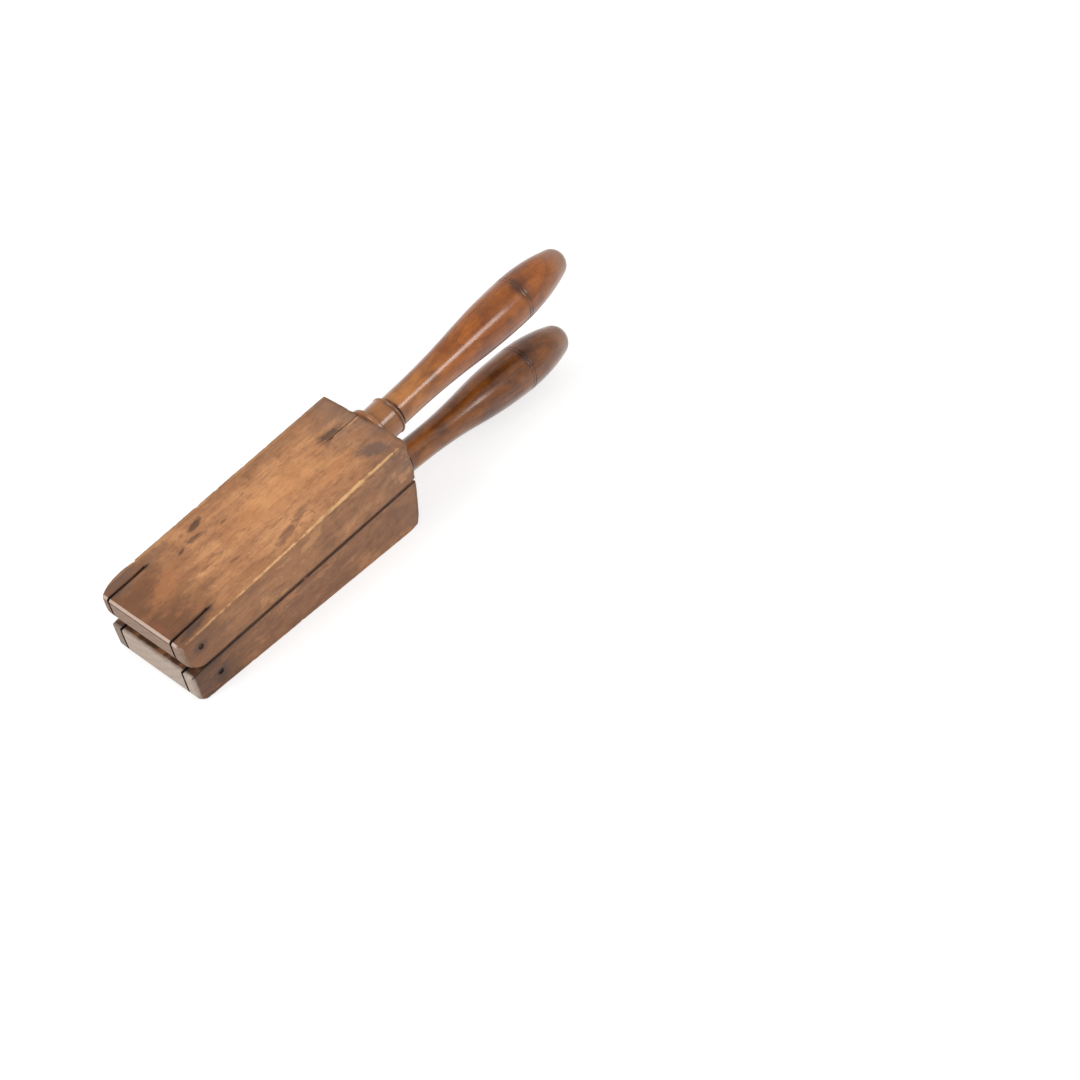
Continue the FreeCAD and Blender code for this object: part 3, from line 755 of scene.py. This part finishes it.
def lever_outline(lever):
    """Outline of a handle from its tenon to its tip, as distances from the seat and radii."""
    length, neck, grip, tip = lever["length"], lever["neck"], lever["grip"], lever["tip"]
    edge = 0.35
    points = [(-tenon_length, tenon_radius - tenon_bevel), (-tenon_length + tenon_bevel, tenon_radius),
              (-tenon_length / 2, tenon_radius), (0, tenon_radius)]
    points += along_arc(flange_round, flange_radius - flange_round, flange_round, 180, 90, 5)
    points += along_arc(flange_end - flange_round, flange_radius - flange_round, flange_round, 90, 0, 5)
    points += along_arc(flange_end + edge, drum_radius + edge, edge, 180, 270, 4)
    points += [(flange_end + 1 + 0.45 * i, drum_radius + 0.006 * math.sin(i * 1.9)) for i in range(20)]
    points += along_arc(drum_end - 0.25, drum_radius - 0.25, 0.25, 90, 20, 3)
    points += along_arc((drum_end + bead_end) / 2, drum_radius - 0.5, 0.86, 150, 30, 9)
    points += [(bead_end + 0.03, neck + 0.5), (bead_end + 0.08, neck - 0.1)]
    points += along_arc((bead_end + groove_end) / 2, neck - 0.05, 0.68, 188, 352, 9)
    neck_start, neck_end, grip_x = groove_end + 0.1, groove_end + lever["straight"], length - grip_from_tip
    points += [(neck_start + (neck_end - neck_start) * i / 6, neck) for i in range(6)]
    run, rise = grip_x - neck_end, grip - neck
    sweep = (run ** 2 + rise ** 2) / (4 * rise)
    for i in range(48):
        x = neck_end + run * i / 48
        hollow = neck + sweep - math.sqrt(sweep ** 2 - (x - neck_end) ** 2)
        full = grip - sweep + math.sqrt(sweep ** 2 - (grip_x - x) ** 2)
        points.append((x, hollow if i < 24 else full))
    reach = grip_from_tip - tip
    long_arc = (reach ** 2 + grip ** 2 - tip ** 2) / (2 * (grip - tip))
    turn = math.atan2(reach, long_arc - grip)
    meet = grip_x + long_arc * math.sin(turn)
    for i in range(30):
        x = grip_x + (meet - grip_x) * i / 30
        points.append((x, grip - long_arc + math.sqrt(long_arc ** 2 - (x - grip_x) ** 2)))
    points += along_arc(length - tip, 0, tip, 90 - math.degrees(turn), 3, 22)
    rings = [length - ring_from_tip + shift for shift in (-half_ring_gap, half_ring_gap)]
    kept = [(x, r) for x, r in points if all(abs(x - ring) > 0.5 for ring in rings)]
    for ring in rings:
        surface = grip - 0.5 * (ring - grip_x) ** 2 / long_arc
        scribed = ((-0.42, 0), (-0.28, 0.02), (-0.12, 0.13), (0, 0.20), (0.12, 0.13), (0.28, 0.02), (0.42, 0))
        kept += [(ring + offset, surface - depth) for offset, depth in scribed]
    seat_side = [p for p in kept if p[0] <= bead_end + 0.1]
    grip_side = sorted(p for p in kept if p[0] > bead_end + 0.1)
    return seat_side + grip_side


def turned_lever(name, lever, board, seed):
    """Closed mesh of one handle, standing on its jaw's end face."""
    around = 112
    side, height = board["side"], board["seat_height"]
    seat = board["length"] + (seam_gap / 2 + board["thick"] / 2 - height) * math.tan(handle_splay)
    lean, rise = math.cos(handle_splay), math.sin(handle_splay)

    def placed(x, y, z):
        return laid(seat + x * lean - z * rise, y, side * (height + x * rise + z * lean))

    shell = bmesh.new()
    rings = []
    for x, radius in lever_outline(lever):
        ring = []
        for i in range(around):
            turn = 2 * math.pi * i / around
            near = radius
            if x > groove_end + 0.9:
                spot = Vector((x / 24, 1.1 * math.cos(turn), 1.1 * math.sin(turn) + seed))
                near -= 0.045 * (1 + waver(spot))
            ring.append(shell.verts.new(placed(x, near * math.cos(turn), near * math.sin(turn))))
        rings.append(ring)
    for near_ring, far_ring in zip(rings, rings[1:]):
        for i in range(around):
            j = (i + 1) % around
            shell.faces.new((near_ring[i], near_ring[j], far_ring[j], far_ring[i]))
    ends = ((rings[0], -tenon_length), (rings[-1], lever["length"] - 0.07))
    for ring, x in ends:
        middle = shell.verts.new(placed(x, 0, 0))
        for i in range(around):
            shell.faces.new((ring[i], ring[(i + 1) % around], middle))
    bmesh.ops.recalc_face_normals(shell, faces=shell.faces)
    return as_piece(name, shell), placed(0, 0, 0)


def lever_finish(name, lever, board, seat, pith, colours):
    """Polished turned wood: dark in the turned hollows from dirt and painted shade, and at the tip, with
    streaks along the grip.
    """
    material, tree, shader = new_material(name)
    slope = lower_slope + board["side"] * handle_splay
    own = local_place(tree, seat, slope)
    grain = place_group(
        tree, wood, Vector=own, Pith_Y=pith[0], Pith_Z=pith[1], Ring_Spacing=0.0031,
        Light=colours["light"], Middle=colours["middle"], Dark=colours["dark"],
        Rings=0.3, Mottling=0.9, Figure=0.7, Pores=0.3)
    colour = grain.outputs["Color"]
    along = add(tree, "ShaderNodeSeparateXYZ", None, Vector=own).outputs[0]
    cloud = noise(tree, stretched(tree, own, 60, 150, 150), 4, 0.6)
    smear = noise(tree, stretched(tree, own, 45, 240, 240), 4, 0.65)
    blotch = noise(tree, stretched(tree, own, 75, 95, 95), 3, 0.55)
    uneven = maths(tree, "SUBTRACT", cloud, 0.5)
    neck = ramp(tree, maths(tree, "MULTIPLY_ADD", uneven, 0.02, along), 0.022, 0.058, 0.75, 0.0)
    colour = blend(tree, "MIX", neck, colour, colours["neck"])
    smears = ramp(tree, smear, 0.46, 0.74, 0.0, colours["streaks"])
    colour = blend(tree, "MIX", smears, colour, colours["streak"])
    blotches = ramp(tree, blotch, 0.46, 0.70, 0.0, colours["blotches"])
    colour = blend(tree, "MIX", blotches, colour, colours["streak"])

    def darkened(colour, place_mm, half, amount):
        """Dirt and painted shade round the handle at one place along it."""
        off = maths(tree, "ABSOLUTE", maths(tree, "SUBTRACT", along, place_mm * 0.001))
        off = maths(tree, "MULTIPLY_ADD", uneven, 0.0012, off)
        patchy = ramp(tree, blotch, 0.40, 0.58, 0.2, 1.0)
        mask = product(tree, ramp(tree, off, half * 0.0004, half * 0.001, amount, 0.0), patchy)
        return blend(tree, "MIX", mask, colour, srgb(50, 32, 24))

    # Dirt and painted shade: at the seat against the jaw, beside the flange and drum, in the groove and round
    # the scribed rings
    between_rings = lever["length"] - ring_from_tip
    for place_mm, half, amount in (
            (0.0, 1.2, 0.85), (flange_end + 0.2, 1.8, 0.85), (drum_end, 1.2, 0.7),
            ((bead_end + groove_end) / 2, 1.9, 0.9), (between_rings - half_ring_gap, 0.5, 0.5),
            (between_rings + half_ring_gap, 0.5, 0.5), (between_rings, 4.0, 0.45)):
        colour = darkened(colour, place_mm, half, amount)
    end = lever["length"] * 0.001
    tip = ramp(tree, maths(tree, "MULTIPLY_ADD", uneven, 0.012, along), end - 0.022, end + 0.001)
    colour = blend(tree, "MIX", product(tree, tip, 0.85), colour, srgb(154, 126, 110))
    collar = ramp(tree, along, 0.015, 0.021, 0.45, 0.0)
    colour = blend(tree, "MIX", collar, colour, colours["collar"])
    tree.links.new(colour, shader.inputs["Base Color"])
    tree.links.new(maths(tree, "MULTIPLY_ADD", cloud, 0.24, 0.26), shader.inputs["Roughness"])
    tree.links.new(ramp(tree, cloud, 0.3, 0.7, 0.9, 0.6), shader.inputs["Coat Weight"])
    shader.inputs["Coat Roughness"].default_value = 0.16
    shader.inputs["Coat IOR"].default_value = 1.5
    shader.inputs["Specular IOR Level"].default_value = 0.25
    shader.inputs["Sheen Weight"].default_value = 0.14
    shader.inputs["Sheen Roughness"].default_value = 0.32
    turning = noise(tree, stretched(tree, own, 2600, 40, 40), 2, 0.6)
    bumps = maths(tree, "MULTIPLY_ADD", turning, 0.25, product(tree, grain.outputs["Relief"], 0.7))
    bump = add(tree, "ShaderNodeBump", None, Strength=0.25, Distance=0.0001, Height=bumps)
    tree.links.new(bump.outputs[0], shader.inputs["Normal"])
    return material


upper_lever_colours = {
    "light": srgb(172, 96, 26), "middle": srgb(130, 64, 12), "dark": srgb(70, 32, 10),
    "streak": srgb(84, 42, 16), "streaks": 0.5, "blotches": 0.42,
    "neck": srgb(194, 128, 68), "collar": srgb(138, 92, 60)}
lower_lever_colours = {
    "light": srgb(148, 84, 18), "middle": srgb(98, 48, 8), "dark": srgb(52, 22, 8),
    "streak": srgb(58, 26, 8), "streaks": 0.6, "blotches": 0.45,
    "neck": srgb(170, 102, 38), "collar": srgb(120, 80, 52)}
for name, lever, board, body, node, pith, colours, seed in (
        ("upper_lever", upper_lever, upper_board, "upper_half", "upper_handle",
         (0.012, -0.024), upper_lever_colours, 2.5),
        ("lower_lever", lower_lever, lower_board, "lower_half", "lower_handle",
         (-0.02, 0.016), lower_lever_colours, 7.5)):
    piece, seat = turned_lever(name, lever, board, seed)
    piece.data.materials.append(lever_finish(name + "_wood", lever, board, seat, pith, colours))
    finish_faces(piece, 40)
    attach(piece, body)
    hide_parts(node)

# TABLE, LIGHT AND CAMERA
# A wide pale floor under two soft boxes and a pale sky that is brighter low down and white to the camera.
# The boxes stand where the streaks on the real handles place them.
floor_mesh = bpy.data.meshes.new("floor")
reach = 6.0
floor_corners = [(-reach, -reach, 0), (reach, -reach, 0), (reach, reach, 0), (-reach, reach, 0)]
floor_mesh.from_pydata(floor_corners, [], [(0, 1, 2, 3)])
floor = bpy.data.objects.new("floor", floor_mesh)
bpy.context.scene.collection.objects.link(floor)
paint, tree, shader = new_material("floor_white")
shader.inputs["Base Color"].default_value = (0.58, 0.58, 0.58, 1)
shader.inputs["Roughness"].default_value = 1.0
shader.inputs["Specular IOR Level"].default_value = 0.0
shader.inputs["Emission Color"].default_value = (1, 1, 1, 1)
light_path = add(tree, "ShaderNodeLightPath")
looked_at = maths(tree, "MAXIMUM", light_path.outputs["Is Camera Ray"], light_path.outputs["Is Glossy Ray"])
tree.links.new(product(tree, looked_at, 0.6), shader.inputs["Emission Strength"])
floor_mesh.materials.append(paint)

world = bpy.data.worlds.new("studio")
bpy.context.scene.world = world
world.use_nodes = True
tree = world.node_tree
sky = tree.nodes["Background"]
outward = add(tree, "ShaderNodeTexCoord").outputs["Generated"]
sky_height = add(tree, "ShaderNodeSeparateXYZ", None, Vector=outward).outputs[2]
band = blend(tree, "MIX", ramp(tree, sky_height, 0.15, 0.5), (0.8, 0.8, 0.8, 1), (0.53, 0.53, 0.53, 1))
seen = add(tree, "ShaderNodeLightPath").outputs["Is Camera Ray"]
tree.links.new(blend(tree, "MIX", seen, band, (1, 1, 1, 1)), sky.inputs[0])

aim_over = Vector((0.04, 0.0, 0.03))


def soft_box(name, azimuth, elevation, distance_off, width, height, power):
    """Rectangular lamp that faces the press from a compass angle and a height angle."""
    lamp = bpy.data.lights.new(name, "AREA")
    lamp.shape = "RECTANGLE"
    lamp.size = width
    lamp.size_y = height
    lamp.energy = power
    holder = bpy.data.objects.new(name, lamp)
    bpy.context.scene.collection.objects.link(holder)
    turn, rise = math.radians(azimuth), math.radians(elevation)
    out = Vector((math.cos(rise) * math.cos(turn), math.cos(rise) * math.sin(turn), math.sin(rise)))
    holder.location = aim_over + out * distance_off
    holder.rotation_mode = "QUATERNION"
    holder.rotation_quaternion = (-out).to_track_quat("-Z", "Y")


soft_box("right_box", -68, 43, 1.5, 0.5, 0.4, 6.0)
soft_box("left_box", 165, 38, 1.6, 0.6, 0.9, 12.5)

camera_data = bpy.data.cameras.new("camera")
camera_data.sensor_width = 36.0
camera_data.lens = 44.60
camera_data.clip_start = 0.01
camera = bpy.data.objects.new("camera", camera_data)
bpy.context.scene.collection.objects.link(camera)
view_turn, view_fall, view_roll = math.radians(37.27), math.radians(44.64), math.radians(0.63)
looks = Vector((math.cos(view_turn), math.sin(view_turn), -math.tan(view_fall))).normalized()
floor_aim = Vector((0.09585, -0.07687, 0.0))
camera_distance = 0.63394
camera.location = floor_aim - looks * camera_distance
turned = looks.to_track_quat("-Z", "Y").to_matrix() @ Matrix.Rotation(view_roll, 3, "Z")
camera.rotation_euler = turned.to_euler()
bpy.context.scene.camera = camera
bpy.context.scene.view_settings.view_transform = "Standard"
